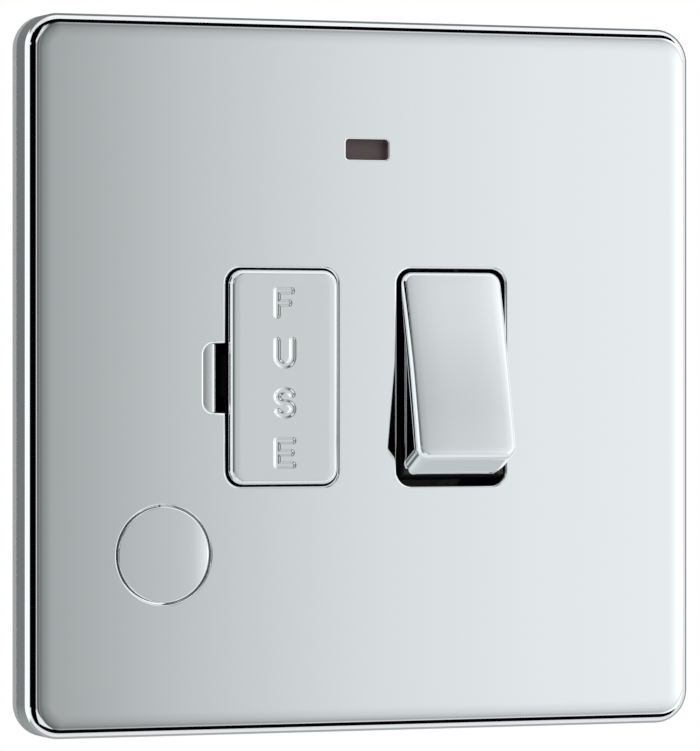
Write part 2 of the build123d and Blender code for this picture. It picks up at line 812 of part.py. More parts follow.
def lever_seat(x):
    """Strip head under a lever, with an ear each side that keeps the lever in place."""
    ear_in = lever_width / 2 + ear_gap
    head_half = ear_in + ear_thick
    slab(2 * head_half, strip_width, chamber_floor, strip_front_y, [(x, 0)])
    ears = [(x - ear_in - ear_thick / 2, 0), (x + ear_in + ear_thick / 2, 0)]
    slab(ear_thick, strip_width, strip_front_y, strip_front_y - ear_height, ears)


# Link from the live lever's seat round to the upper fuse clip
with BuildPart() as live_link:
    lever_seat(pole_x["live"])
    link_left = rocker_x - chamber_left + slot_gap
    link_right = pole_x["live"] - lever_width / 2 - ear_gap - ear_thick
    run_low = clip_z - strip_width / 2
    run_high = clip_z + strip_width / 2
    span(link_left, link_right + strip, -strip_width / 2, strip_width / 2, chamber_floor, strip_front_y)
    span(link_left, link_right, -strip_width / 2, run_high, chamber_floor, strip_front_y)
    span(link_left, link_left + strip, run_low, run_high, chamber_floor, link_front_y)
    span(fuse_x - clip_half, link_left + strip, run_low, run_high, body_depth, link_front_y)
save(live_link, "live_link")

# Link from the neutral lever's seat to its load terminal
with BuildPart() as neutral_link:
    x = pole_x["neutral"]
    lever_seat(x)
    span(x - strip_width / 2, x + strip_width / 2, load_high, 0, chamber_floor, strip_front_y)
save(neutral_link, "neutral_link")

# Link from the lower fuse clip to the live load terminal
with BuildPart() as load_live_link:
    tab_left = tab_right - strip_width
    span(fuse_x - clip_half, tab_right, -run_high, -run_low, body_depth, link_front_y)
    span(tab_left, tab_right, load_high - strip, -run_low, body_depth, link_front_y)
    span(tab_left, tab_right, load_high - strip, load_high, block_front_y, link_front_y)
save(load_live_link, "load_live_link")

# Fuse clips: bent spring strips, open to the front with flared lips
clip_in = clip_half - strip
clip_tip_y = clip_lip_y - clip_lip_length
right_side = [
    (fuse_x + clip_half, link_front_y),
    (fuse_x + clip_half, clip_lip_y),
    (fuse_x + clip_half + clip_lip, clip_tip_y),
    (fuse_x + clip_in + clip_lip, clip_tip_y),
    (fuse_x + clip_in, clip_lip_y),
    (fuse_x + clip_in, clip_base_y),
]
left_side = [(2 * fuse_x - x, y) for x, y in reversed(right_side)]
for name, z in (("upper_fuse_clip", clip_z), ("lower_fuse_clip", -clip_z)):
    with BuildPart() as clip:
        with BuildSketch(Plane.XY.offset(z - clip_width / 2)):
            with BuildLine():
                Polyline(*right_side, *left_side, close=True)
            make_face()
        extrude(amount=clip_width)
    save(clip, name)

# Cartridge fuse
with BuildPart() as fuse_tube:
    with Locations((fuse_x, fuse_y, 0)):
        Cylinder(fuse_tube_r, fuse_length - 2 * fuse_cap_end)
save(fuse_tube, "fuse_tube")
for name, side in (("upper_fuse_cap", 1), ("lower_fuse_cap", -1)):
    with BuildPart() as fuse_cap:
        cap_mid = side * (fuse_length - fuse_cap_length) / 2
        with Locations((fuse_x, fuse_y, cap_mid)):
            Cylinder(fuse_r, fuse_cap_length)
        with Locations((fuse_x, fuse_y, cap_mid - side * fuse_cap_end)):
            Cylinder(fuse_tube_r + fuse_cap_fit, fuse_cap_length, mode=Mode.SUBTRACT)
        fillet(fuse_cap.faces().sort_by(Axis.Z)[-1 if side > 0 else 0].edges(), fuse_cap_round)
    save(fuse_cap, name)

# Fuse carrier's plated face
with BuildPart() as carrier_cap:
    carrier_spot = [(fuse_x, opening_z)]
    slab(carrier_width, carrier_height, carrier_back_y, carrier_face_y, carrier_spot, carrier_corner_r)
    fillet(carrier_cap.faces().sort_by(Axis.Y)[0].edges(), carrier_round)
    inner_width = carrier_width - 2 * carrier_side
    inner_height = carrier_height - 2 * carrier_side
    inner_r = carrier_corner_r - carrier_side
    slab(inner_width, inner_height, carrier_back_y, drawer_front_y, carrier_spot, inner_r, Mode.SUBTRACT)
save(carrier_cap, "carrier_cap")

# Fuse drawer: plate behind the face, a cradle for the fuse and two barbed arms
with BuildPart() as fuse_drawer:
    plate_r = inner_r - drawer_gap
    drawer_width = inner_width - 2 * drawer_gap
    drawer_height = inner_height - 2 * drawer_gap
    slab(drawer_width, drawer_height, drawer_back_y, drawer_front_y, carrier_spot, plate_r)
    slab(2 * cradle_half, 2 * cradle_reach, cradle_end_y, drawer_back_y, [(fuse_x, 0)])
    with BuildSketch(Plane.XY):
        with Locations((fuse_x, fuse_y)):
            Circle(fuse_tube_r + running)
        with Locations((fuse_x, (fuse_y + cradle_end_y) / 2)):
            Rectangle(cradle_mouth, cradle_end_y - fuse_y)
    extrude(amount=cradle_reach, both=True, mode=Mode.SUBTRACT)
    for side in (-1, 1):
        with BuildSketch(Plane.XY):
            with BuildLine():
                Polyline(
                    (fuse_x + side * (arm_outer - arm_thick), drawer_back_y),
                    (fuse_x + side * (arm_outer - arm_thick), arm_end_y),
                    (fuse_x + side * arm_outer, arm_end_y),
                    (fuse_x + side * barb_reach, arm_end_y - barb_length + barb),
                    (fuse_x + side * barb_reach, arm_end_y - barb_length),
                    (fuse_x + side * arm_outer, arm_end_y - barb_length),
                    (fuse_x + side * arm_outer, drawer_back_y),
                    close=True,
                )
            make_face()
        extrude(amount=arm_half, both=True)
save(fuse_drawer, "fuse_drawer")

# Indicator lens, its neon lamp, the series resistor and their leads
with BuildPart() as indicator_lens:
    slab(lens_width, lens_height, lens_back_y, nose_front_y, lens_spot)
    flange_width = lens_width + 2 * lens_flange
    slab(flange_width, lens_height + 2 * lens_flange, lens_back_y, room_front_y, lens_spot)
save(indicator_lens, "indicator_lens")

with BuildPart() as neon_lamp:
    with Locations(Location((0, lamp_y, lens_z), (0, 90, 0))):
        Cylinder(lamp_r, lamp_length)
    fillet(neon_lamp.edges(), lamp_r / 2)
save(neon_lamp, "neon_lamp")

with BuildPart() as resistor:
    with Locations(Location((0, resistor_depth, lens_z), (0, 90, 0))):
        Cylinder(resistor_r, resistor_length)
    fillet(resistor.edges(), resistor_r / 3)
save(resistor, "neon_resistor")

live_lead_y = link_front_y - lead_r
neutral_lead_y = live_lead_y - lead_step
lamp_end = lamp_length / 2
lead_out = lamp_end + lamp_lead
resistor_end = resistor_length / 2
resistor_out = resistor_end + resistor_lead
lead_runs = [
    [
        (-lamp_end, lamp_y, lens_z),
        (-lead_out, lamp_y, lens_z),
        (-lead_out, resistor_depth, lens_z),
        (-resistor_end, resistor_depth, lens_z),
    ],
    [
        (resistor_end, resistor_depth, lens_z),
        (resistor_out, resistor_depth, lens_z),
        (resistor_out, live_lead_y, lens_z),
        (-lead_column, live_lead_y, lens_z),
        (-lead_column, live_lead_y, clip_z),
    ],
    [
        (lamp_end, lamp_y, lens_z),
        (lead_out, lamp_y, lens_z),
        (lead_out, neutral_lead_y, lens_z),
        (lead_out, neutral_lead_y, lens_z - lead_jog),
        (lead_column, neutral_lead_y, lens_z - lead_jog),
        (lead_column, neutral_lead_y, lead_z),
        (neutral_x, neutral_lead_y, lead_z),
        (neutral_x, block_front_y, lead_z),
    ],
]
with BuildPart() as neon_leads:
    for points in lead_runs:
        with BuildLine() as route:
            FilletPolyline(*points, radius=lead_bend)
        with BuildSketch(Plane(origin=route.line @ 0, z_dir=route.line % 0)):
            Circle(lead_r)
        sweep(path=route.line)
save(neon_leads, "neon_leads")

# Terminals: brass blocks with a wire bore open to the housing's edge and a screw from behind
terminals = {
    "supply_earth_terminal": (earth_x[0], supply_z, 1),
    "load_earth_terminal": (earth_x[1], supply_z, 1),
    "supply_live_terminal": (supply_live_x, supply_z, 1),
    "supply_neutral_terminal": (neutral_x, supply_z, 1),
    "load_live_terminal": (load_live_x, load_z, -1),
    "load_neutral_terminal": (neutral_x, load_z, -1),
}
for name, (x, z, side) in terminals.items():
    with BuildPart() as terminal:
        slab(block_width, block_height, block_back_y, block_front_y, [(x, z)])
        chamfer(terminal.faces().sort_by(Axis.Y)[-1].edges(), block_chamfer)
        mouth = z + side * block_height / 2
        with BuildSketch(Plane.XY.offset(mouth)):
            with Locations((x, wire_y)):
                Circle(wire_r)
        extrude(amount=-side * wire_length, mode=Mode.SUBTRACT)
        rod(screw_r + screw_fit, block_back_y, wire_y, [(x, z)], Mode.SUBTRACT)
    save(terminal, name)

with BuildPart() as terminal_screws:
    spots = [(x, z) for x, z, side in terminals.values()]
    head_back = block_back_y + screw_head
    screw_tip = wire_y + wire_r + screw_lift
    rod(screw_r, block_back_y, screw_tip, spots)
    rod(screw_head_r, head_back, block_back_y, spots)
    slab(2 * screw_head_r, screw_slot, head_back, head_back - screw_slot_depth, spots, 0, Mode.SUBTRACT)
save(terminal_screws, "terminal_screws")

# Earth strap: joins the two earth blocks and reaches forward to touch the back of the plate
with BuildPart() as earth_strap:
    with BuildSketch(Plane.XY.offset(strap_low)):
        with BuildLine():
            Polyline(
                (strap_right, strap_front_y),
                (finger_right, strap_front_y),
                (finger_right, sheet_back_y + strap_gap),
                (finger_left, sheet_back_y + strap_gap),
                (finger_left, strap_front_y + strap_width),
                (strap_right, strap_front_y + strap_width),
                close=True,
            )
        make_face()
    extrude(amount=strip)
    fillet(earth_strap.edges().filter_by(Axis.Z).group_by(Axis.Y)[0], strap_round)
save(earth_strap, "earth_strap")

# Flex clamp: arched bar on the frame's two bosses
bar_seat_y = clamp_boss_height
bar_half = clamp_half_spacing + clamp_boss_r
with BuildPart() as clamp_bar:
    with BuildSketch(Plane.YZ.offset(clamp_x)):
        with BuildLine():
            bar_back_y = bar_seat_y + clamp_bar_thick
            low = clamp_z - clamp_arch_half
            high = clamp_z + clamp_arch_half
            Line((bar_seat_y, clamp_z - bar_half), (bar_seat_y, low))
            ThreePointArc((bar_seat_y, low), (bar_seat_y + clamp_bar_rise, clamp_z), (bar_seat_y, high))
            Line((bar_seat_y, high), (bar_seat_y, clamp_z + bar_half))
            Line((bar_seat_y, clamp_z + bar_half), (bar_back_y, clamp_z + bar_half))
            Line((bar_back_y, clamp_z + bar_half), (bar_back_y, high))
            ThreePointArc((bar_back_y, high), (bar_back_y + clamp_bar_rise, clamp_z), (bar_back_y, low))
            Line((bar_back_y, low), (bar_back_y, clamp_z - bar_half))
            Line((bar_back_y, clamp_z - bar_half), (bar_seat_y, clamp_z - bar_half))
        make_face()
    extrude(amount=clamp_bar_width / 2, both=True)
    fillet(clamp_bar.edges().filter_by(Axis.Y), clamp_round)
    rod(clamp_screw_r + slot_gap, bar_back_y, bar_seat_y, clamp_spots, Mode.SUBTRACT)
save(clamp_bar, "clamp_bar")

with BuildPart() as clamp_screws:
    head_back = bar_back_y + case_head
    rod(clamp_screw_r, bar_back_y, bar_back_y - clamp_screw_length, clamp_spots)
    rod(clamp_head_r, head_back, bar_back_y, clamp_spots)
    slab(2 * clamp_head_r, screw_slot, head_back, head_back - case_head / 2, clamp_spots, 0, Mode.SUBTRACT)
save(clamp_screws, "clamp_screws")
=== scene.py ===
import json
from math import cos, hypot, pi, radians, sin

import bmesh
import bpy
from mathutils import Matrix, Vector


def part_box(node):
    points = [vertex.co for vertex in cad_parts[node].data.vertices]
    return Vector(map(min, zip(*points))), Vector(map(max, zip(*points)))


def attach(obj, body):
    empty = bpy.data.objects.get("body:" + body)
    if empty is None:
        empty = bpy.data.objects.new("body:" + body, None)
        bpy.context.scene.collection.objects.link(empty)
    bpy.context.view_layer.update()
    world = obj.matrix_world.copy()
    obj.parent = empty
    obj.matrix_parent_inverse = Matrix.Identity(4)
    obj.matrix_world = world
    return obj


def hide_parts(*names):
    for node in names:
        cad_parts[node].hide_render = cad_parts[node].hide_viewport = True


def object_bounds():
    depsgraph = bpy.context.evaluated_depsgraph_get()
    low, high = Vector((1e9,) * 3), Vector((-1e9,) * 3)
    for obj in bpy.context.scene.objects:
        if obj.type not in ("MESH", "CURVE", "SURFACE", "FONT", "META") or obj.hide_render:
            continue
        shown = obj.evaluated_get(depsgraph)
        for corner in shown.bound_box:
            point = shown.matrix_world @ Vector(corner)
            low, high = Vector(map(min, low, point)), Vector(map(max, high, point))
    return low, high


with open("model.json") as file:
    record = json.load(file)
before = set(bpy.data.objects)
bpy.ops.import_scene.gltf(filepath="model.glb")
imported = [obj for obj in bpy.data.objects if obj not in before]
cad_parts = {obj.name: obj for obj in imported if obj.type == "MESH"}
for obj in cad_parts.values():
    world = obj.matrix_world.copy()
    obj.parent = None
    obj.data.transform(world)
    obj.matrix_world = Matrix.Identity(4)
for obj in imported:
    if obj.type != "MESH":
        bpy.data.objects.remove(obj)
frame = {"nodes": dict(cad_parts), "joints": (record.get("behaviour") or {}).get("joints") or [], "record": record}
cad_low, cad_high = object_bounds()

# The fused connection unit, in metres: X right, Z up, Y into the wall.
mm = 0.001
record = frame["record"]
joints = {joint["name"]: joint for joint in frame["joints"]}
slots = {part["node"]: part["material_slot"] for part in record["subparts"]}

# Camera: where the photograph was taken from, worked out from the plate's outline
camera_place = Vector((-0.2241, -0.5789, 0.00007))
camera_way = Vector((0.3611, 0.9325, 0.0))
sensor = 36.0
focal_length = 238.1

# Rolled edges turn in coarse steps down the side and in fine ones where they ease into the face
roll_turn = 4.75
ease_turn = 0.7
ease_lean = 14.0
shoulder_lean = 47.0

# Front plate and its openings
plate_low, plate_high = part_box("front_plate")
plate_sheet = 1.0 * mm
plate_corner_r = 4.2 * mm
plate_roll = {"side_r": 1.35 * mm, "shoulder_r": 1.35 * mm, "ease_r": 100.0 * mm, "ease_power": 14}
skirt_end = -1.75 * mm
opening_x = 11.25 * mm
opening_z = -0.15 * mm
opening_edge_r = 0.35 * mm
opening_profile = 0.6
fuse_opening_width = 14.6 * mm
fuse_opening_height = 26.8 * mm
fuse_opening_r = 1.9 * mm
rocker_opening_width = 14.5 * mm
rocker_opening_height = 27.0 * mm
rocker_opening_r = 1.9 * mm
lens_z = 28.05 * mm
lens_width = 5.6 * mm
lens_height = 2.5 * mm
lens_corner_r = 0.4 * mm
lens_edge_r = 0.2 * mm

# Finger notch beside the carrier, and the ramp behind the outer part of it
pry_width = 2.85 * mm
pry_height = 8.4 * mm
pry_z = -0.25 * mm
pry_corner_r = 1.3 * mm
pry_ramp_width = 2.0 * mm
pry_ramp_lift = 0.024 * mm
pry_ramp_flat = 1.3 * mm
pry_ramp_cuts = 7
pry_ramp_thick = 0.8 * mm
pry_ramp_end_r = 0.42 * mm
pry_ramp_root = 1.0 * mm

# Knock-out for the flex: a disc on a tab in a narrow slit, bent in a little at its right edge.
# Its cuts are shares of its radius.
outlet_x = -26.6 * mm
outlet_z = -21.8 * mm
knockout_r = 6.0 * mm
knockout_slit = 0.22 * mm
knockout_tab = 0.76 * mm
knockout_edge_r = 0.18 * mm
knockout_bend = 0.05 * mm
knockout_bend_power = 8
knockout_cuts = (0.3, 0.45, 0.55, 0.65, 0.72, 0.78, 0.84, 0.88, 0.92, 0.95)

# Plated face of the fuse carrier: dished a little, with its right side a touch further out.
# Its cuts are in halves of a letter's field.
carrier_roll = {"side_r": 1.2 * mm, "shoulder_r": 0.3 * mm, "ease_r": 80.0 * mm, "ease_power": 24}
carrier_corner_r = 1.85 * mm
carrier_side = 0.45 * mm
carrier_face_thick = 1.2 * mm
carrier_dish = 0.014 * mm
carrier_lean = 0.0035
carrier_cuts = (-2.6, -2.2, -1.8, -1.4, -1.0, 1.0, 1.4, 1.8, 2.2, 2.6)

# Plated shell of the rocker
rocker_width = 13.5 * mm
rocker_face = 7.2 * mm
rocker_skirt = 1.9 * mm
rocker_half_face = 11.7 * mm
rocker_half_skirt = 13.0 * mm
rocker_wall = 0.9 * mm
rocker_corner_r = 1.6 * mm
rocker_roll = {"side_r": 1.7 * mm, "shoulder_r": 0.32 * mm, "ease_r": 80.0 * mm, "ease_power": 24}
rocker_crown = 0.05 * mm
rocker_crown_power = 4
rocker_dip = 0.58 * mm
rocker_dip_start = -7.0 * mm
rocker_cuts = 12

# Lettering on the fuse carrier: plain capitals of one stroke, pressed in with soft edges
letter_pitch = 6.14 * mm
letter_middle = -0.23 * mm
letter_height = 3.0 * mm
letter_width = 2.05 * mm
letter_core = 0.15 * mm
letter_wall = 0.3 * mm
letter_depth = 0.036 * mm
letter_field = 4.4 * mm
letter_cuts = 54
letter_arc_legs = 16

# Angles in degrees above which an edge stays sharp
piece_sharp = 32
node_sharp = 25

# Real sizes of the marks that the finishes draw, and how far the painted shade in crevices reaches
buffing_haze = 9 * mm
plating_ripple = 5 * mm
crevice_shade_reach = 0.35 * mm
mould_drift = 14 * mm
drawing_streak = 0.6 * mm
tarnish_spot = 4 * mm

# Black flags close in front of the plate's edge, which only reflections show
flag_front = -7.7 * mm
flag_back = -7.4 * mm
flag_left_x = -46.2 * mm
flag_edge_x = -43.3 * mm
flag_right_x = 44.0 * mm
flag_edge_z = 43.35 * mm
flag_end_z = 45.4 * mm

# Floor
floor_drop = 180 * mm
floor_radius = 1400 * mm

# Places worked out from the sizes above
face_y = plate_low.y
back_y = face_y + plate_sheet
pry_left = -opening_x - fuse_opening_width / 2 - pry_width


def linear(code):
    """An sRGB hex value such as "c9cdcf" as linear red, green, blue and a full alpha."""
    values = [int(code[i : i + 2], 16) / 255 for i in (0, 2, 4)]
    return (*[v / 12.92 if v <= 0.04045 else ((v + 0.055) / 1.055) ** 2.4 for v in values], 1.0)


def add(tree, kind, settings, inputs):
    """Adds a node with its settings. An input, by name or number, takes a value or another's socket."""
    node = tree.nodes.new("ShaderNode" + kind)
    for name, value in settings.items():
        setattr(node, name, value)
    for name, value in inputs.items():
        if isinstance(value, bpy.types.NodeSocket):
            tree.links.new(value, node.inputs[name])
        else:
            node.inputs[name].default_value = value
    return node


def start_material(name):
    """An empty material with its output, its shader and Object coordinates."""
    material = bpy.data.materials.new(name)
    material.use_nodes = True
    tree = material.node_tree
    tree.nodes.clear()
    shader = add(tree, "BsdfPrincipled", {}, {})
    add(tree, "OutputMaterial", {}, {"Surface": shader.outputs["BSDF"]})
    place = add(tree, "TexCoord", {}, {}).outputs["Object"]
    return material, tree, shader, place


def polished_chrome():
    """Bright chromium plate: a cool mirror with the last trace of buffing haze, with painted shade that darkens
    its colour in crevices and gaps.
    """
    material, tree, shader, place = start_material("polished_chrome")
    haze = add(tree, "TexNoise", {}, {"Vector": place, "Scale": 1 / buffing_haze, "Detail": 3.0})
    rough = add(tree, "MapRange", {}, {"Value": haze.outputs["Fac"], "To Min": 0.02, "To Max": 0.045})
    tree.links.new(rough.outputs["Result"], shader.inputs["Roughness"])
    ripple = add(tree, "TexNoise", {}, {"Vector": place, "Scale": 1 / plating_ripple, "Detail": 1.0})
    swell = {"Height": ripple.outputs["Fac"], "Strength": 0.02, "Distance": 0.02 * mm}
    bump = add(tree, "Bump", {}, swell)
    tree.links.new(bump.outputs["Normal"], shader.inputs["Normal"])
    # painted shade: ambient occlusion turns the colour from the pale plating towards near black in crevices, slits
    # and gaps
    crevice_shade = add(tree, "AmbientOcclusion", {"samples": 6}, {"Distance": crevice_shade_reach})
    openness = {"Value": crevice_shade.outputs["AO"], "From Min": 0.2, "From Max": 0.5}
    open_share = add(tree, "MapRange", {}, openness).outputs["Result"]
    plating_and_crevice_shade = {0: open_share, 6: linear("2c2d2e"), 7: linear("e9edef")}
    tone = add(tree, "Mix", {"data_type": "RGBA"}, plating_and_crevice_shade)
    tree.links.new(tone.outputs[2], shader.inputs["Base Color"])
    shader.inputs["Metallic"].default_value = 1.0
    return material


def moulded(name, dark, pale, rough, grain, depth):
    """A moulding with a spark-eroded grain or a glaze, whose tone drifts a little over its length."""
    material, tree, shader, place = start_material(name)
    drift = add(tree, "TexNoise", {}, {"Vector": place, "Scale": 1 / mould_drift, "Detail": 4.0})
    tones = {0: drift.outputs["Fac"], 6: linear(dark), 7: linear(pale)}
    tone = add(tree, "Mix", {"data_type": "RGBA"}, tones)
    tree.links.new(tone.outputs[2], shader.inputs["Base Color"])
    spark = add(tree, "TexNoise", {}, {"Vector": place, "Scale": 1 / grain, "Detail": 2.0})
    spread = {"Value": spark.outputs["Fac"], "To Min": rough - 0.08, "To Max": rough + 0.08}
    gloss = add(tree, "MapRange", {}, spread)
    tree.links.new(gloss.outputs["Result"], shader.inputs["Roughness"])
    bump = add(tree, "Bump", {}, {"Height": spark.outputs["Fac"], "Strength": 0.5, "Distance": depth})
    tree.links.new(bump.outputs["Normal"], shader.inputs["Normal"])
    return material


def drawn_metal(name, dark, pale, rough, stretch):
    """Strip, wire or bar as it leaves the press: streaks along one way and a drifting tarnish."""
    material, tree, shader, place = start_material(name)
    along = add(tree, "Mapping", {}, {"Vector": place, "Scale": stretch}).outputs["Vector"]
    streak = add(tree, "TexNoise", {}, {"Vector": along, "Scale": 1 / drawing_streak, "Detail": 3.0})
    stain = add(tree, "TexNoise", {}, {"Vector": place, "Scale": 1 / tarnish_spot, "Detail": 4.0})
    tones = {0: stain.outputs["Fac"], 6: linear(dark), 7: linear(pale)}
    tone = add(tree, "Mix", {"data_type": "RGBA"}, tones)
    tree.links.new(tone.outputs[2], shader.inputs["Base Color"])
    spread = {"Value": streak.outputs["Fac"], "To Min": rough - 0.07, "To Max": rough + 0.1}
    gloss = add(tree, "MapRange", {}, spread)
    tree.links.new(gloss.outputs["Result"], shader.inputs["Roughness"])
    bump = add(tree, "Bump", {}, {"Height": streak.outputs["Fac"], "Strength": 0.3, "Distance": 0.02 * mm})
    tree.links.new(bump.outputs["Normal"], shader.inputs["Normal"])
    shader.inputs["Metallic"].default_value = 1.0
    return material


chrome = polished_chrome()
finishes = {
    "chromed_plate": chrome,
    "chromed_trim": chrome,
    # pale grey ABS with a fine matt grain, seen as a thin rim behind the plate
    "frame_plastic": moulded("grey_abs", "9a9ea0", "a4a8aa", 0.42, 0.35 * mm, 0.01 * mm),
    # black urea that keeps the notch and the rocker's well dark, with a dull gleam
    "black_moulding": moulded("black_urea", "0d0d0e", "17181a", 0.42, 0.3 * mm, 0.02 * mm),
    # hard white urea, a little glossier than the frame
    "rear_moulding": moulded("white_urea", "dcdcd6", "e6e6e1", 0.38, 0.5 * mm, 0.01 * mm),
    # cool grey zinc with a soft gleam
    "steel_screw": drawn_metal("zinc_plated_steel", "a9adae", "c4c6c4", 0.28, (1.0, 1.0, 1.0)),
    # warm yellow brass with the fine rings that a lathe leaves
    "brass_screw": drawn_metal("turned_brass", "c79a4b", "dcb567", 0.26, (1.0, 6.0, 1.0)),
    # duller brass, streaked along the bar
    "brass": drawn_metal("extruded_brass", "c2964a", "d9b264", 0.3, (1.0, 1.0, 0.15)),
    # bright grey wire with small sharp highlights
    "spring_steel": drawn_metal("bright_spring_wire", "9c9fa1", "b4b6b7", 0.25, (1.0, 1.0, 1.0)),
    # red copper, streaked along the strip
    "copper_strip": drawn_metal("rolled_copper", "b8704a", "d0885e", 0.3, (1.0, 1.0, 0.15)),
    # browner than the copper, streaked across
    "spring_bronze": drawn_metal("phosphor_bronze", "b57f4c", "cb9560", 0.3, (0.15, 1.0, 1.0)),
    # cream body under a glassy coat
    "ceramic": moulded("glazed_ceramic", "dcd6c6", "e8e3d6", 0.25, 1.2 * mm, 0.01 * mm),
    # warm silver with a soft gleam
    "nickel_cap": drawn_metal("nickel_plate", "b3aea4", "c8c3ba", 0.24, (1.0, 1.0, 1.0)),
    # dark plum window, smooth and unlit
    "lens": moulded("plum_polycarbonate", "3c2f30", "4a3b3c", 0.3, 1.0 * mm, 0.01 * mm),
    # smooth milky glass of the unlit lamp
    "lamp_glass": moulded("lamp_glass", "cfc8c0", "dcd6ce", 0.12, 2.0 * mm, 0.005 * mm),
    # tan lacquer with a soft gloss
    "resistor_paint": moulded("resistor_lacquer", "b19a68", "bfa877", 0.35, 0.6 * mm, 0.01 * mm),
    # matt off-white sleeving
    "lead_sleeve": moulded("sleeved_lead", "d2d2d0", "dededc", 0.45, 0.5 * mm, 0.01 * mm),
}


def deselect():
    bpy.ops.object.select_all(action="DESELECT")


def activate(piece):
    """Makes piece the only selected object."""
    deselect()
    piece.select_set(True)
    bpy.context.view_layer.objects.active = piece


def block(name, low, high):
    """A box between two corners, its place in its mesh."""
    deselect()
    low, high = Vector(low), Vector(high)
    bpy.ops.mesh.primitive_cube_add(size=1, location=(low + high) / 2)
    piece = bpy.context.object
    piece.name = name
    piece.scale = high - low
    bpy.ops.object.transform_apply(location=True, rotation=True, scale=True)
    return piece


def bevel(piece, chosen, width, segments, profile=0.5):
    """Rounds the edges of piece for which chosen(edge) holds."""
    activate(piece)
    bpy.ops.object.mode_set(mode="EDIT")
    bpy.ops.mesh.select_mode(type="EDGE")
    bpy.ops.mesh.select_all(action="DESELECT")
    mesh = bmesh.from_edit_mesh(piece.data)
    for edge in mesh.edges:
        edge.select_set(chosen(edge))
    mesh.select_flush_mode()
    bmesh.update_edit_mesh(piece.data)
    bpy.ops.mesh.bevel(offset=width, segments=segments, profile=profile, affect="EDGES")
    bpy.ops.object.mode_set(mode="OBJECT")


def select_faces(piece, chosen):
    """Opens piece in edit mode with only the faces selected for which chosen(face) holds."""
    activate(piece)
    bpy.ops.object.mode_set(mode="EDIT")
    bpy.ops.mesh.select_mode(type="FACE")
    bpy.ops.mesh.select_all(action="DESELECT")
    mesh = bmesh.from_edit_mesh(piece.data)
    for face in mesh.faces:
        face.select_set(chosen(face))
    bmesh.update_edit_mesh(piece.data)


def slice_mesh(piece, places, normal):
    """Cuts the mesh right across at each place, square to normal, and keeps both sides."""
    activate(piece)
    bpy.ops.object.mode_set(mode="EDIT")
    for place in places:
        bpy.ops.mesh.select_all(action="SELECT")
        bpy.ops.mesh.bisect(plane_co=place, plane_no=normal)
    bpy.ops.object.mode_set(mode="OBJECT")


def along_depth(edge):
    """True for an edge square to the wall."""
    a, b = (vert.co for vert in edge.verts)
    return abs(a.x - b.x) < 1e-7 and abs(a.z - b.z) < 1e-7


def at_depth(y):
    """Chooses the edges that lie at depth y."""
    return lambda edge: all(abs(vert.co.y - y) < 1e-6 for vert in edge.verts)


def faces_front(face):
    """True for a face that looks straight out of the wall."""
    return face.normal.y < -0.99


def tile(name, low, high, corner_r, segments=10):
    """A box whose four corners, seen from the front, are round."""
    piece = block(name, low, high)
    bevel(piece, along_depth, corner_r, segments)
    return piece


def roll_steps(side_r, shoulder_r, ease_r, ease_power):
    """Steps inwards and forwards of a roll from the side over a shoulder, easing into the flat face."""
    steps = []
    lean = 90.0
    while lean > ease_turn / 2:
        turn = roll_turn if lean > ease_lean else ease_turn
        middle = lean - turn / 2
        radius = side_r if middle > shoulder_lean else shoulder_r
        ease = max(0.0, 1 - middle / ease_lean) ** ease_power
        length = (radius + ease_r * ease) * radians(turn)
        steps.append((length * cos(radians(middle)), length * sin(radians(middle))))
        lean -= turn
    return steps, sum(forward for inward, forward in steps)


def roll_face(piece, steps):
    """Insets the front face step by step, so that it rolls forwards from the sides."""
    select_faces(piece, faces_front)
    for inward, forward in steps:
        bpy.ops.mesh.inset(thickness=inward, depth=forward)
    bpy.ops.object.mode_set(mode="OBJECT")


def rolled_tile(name, low, high, corner_r, roll):
    """A tile whose front edge is rolled over."""
    steps, rise = roll_steps(**roll)
    piece = tile(name, (low[0], low[1] + rise, low[2]), high, corner_r, segments=16)
    roll_face(piece, steps)
    return piece


def combine(piece, other, operation):
    """Cuts other out of piece or adds it, and removes other."""
    activate(piece)
    modifier = piece.modifiers.new("combine", "BOOLEAN")
    modifier.operation = operation
    modifier.solver = "EXACT"
    modifier.object = other
    bpy.ops.object.modifier_apply(modifier="combine")
    bpy.data.objects.remove(other)


def smooth(piece, weight):
    """Smooth shading: weight 100 keeps flat faces flat so that they mirror truly, 50 suits curved ones."""
    activate(piece)
    bpy.ops.object.shade_smooth_by_angle(angle=radians(piece_sharp))
    modifier = piece.modifiers.new("flat faces", "WEIGHTED_NORMAL")
    modifier.keep_sharp = True
    modifier.weight = weight
    bpy.ops.object.modifier_apply(modifier="flat faces")


def finish_piece(piece, slot, body, *nodes):
    """Gives piece its material and slot, and lets it ride on body in place of CAD nodes."""
    piece.data.materials.clear()
    piece.data.materials.append(finishes[slot])
    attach(piece, body)
    if nodes:
        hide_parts(*nodes)


def plate_cutter(x, z, width, height, corner_r):
    """A round-cornered block that passes right through the plate's sheet."""
    low = (x - width / 2, face_y - plate_sheet, z - height / 2)
    high = (x + width / 2, back_y + plate_sheet, z + height / 2)
    return tile("opening", low, high, corner_r)


def outlet_disc(radius, middle, depth):
    """A disc on the axis of the flex outlet, with its middle at the given depth."""
    deselect()
    bpy.ops.mesh.primitive_cylinder_add(
        vertices=96,
        radius=radius,
        depth=depth,
        location=(outlet_x, middle, outlet_z),
        rotation=(pi / 2, 0, 0),
    )
    bpy.ops.object.transform_apply(location=True, rotation=True, scale=True)
    return bpy.context.object


def opening_rim(edge):
    """True for the sharp edge of an opening in the plate's face."""
    if not at_depth(face_y)(edge) or len(edge.link_faces) != 2:
        return False
    return min(abs(face.normal.y) for face in edge.link_faces) < 0.1


def round_outlet(edge):
    """True for an edge of the knock-out's hole."""
    middle = (edge.verts[0].co + edge.verts[1].co) / 2
    return hypot(middle.x - outlet_x, middle.z - outlet_z) < knockout_r + 2 * knockout_slit


def round_lens(edge):
    """True for an edge of the indicator's window."""
    middle = (edge.verts[0].co + edge.verts[1].co) / 2
    return abs(middle.x) < lens_width and abs(middle.z - lens_z) < lens_height


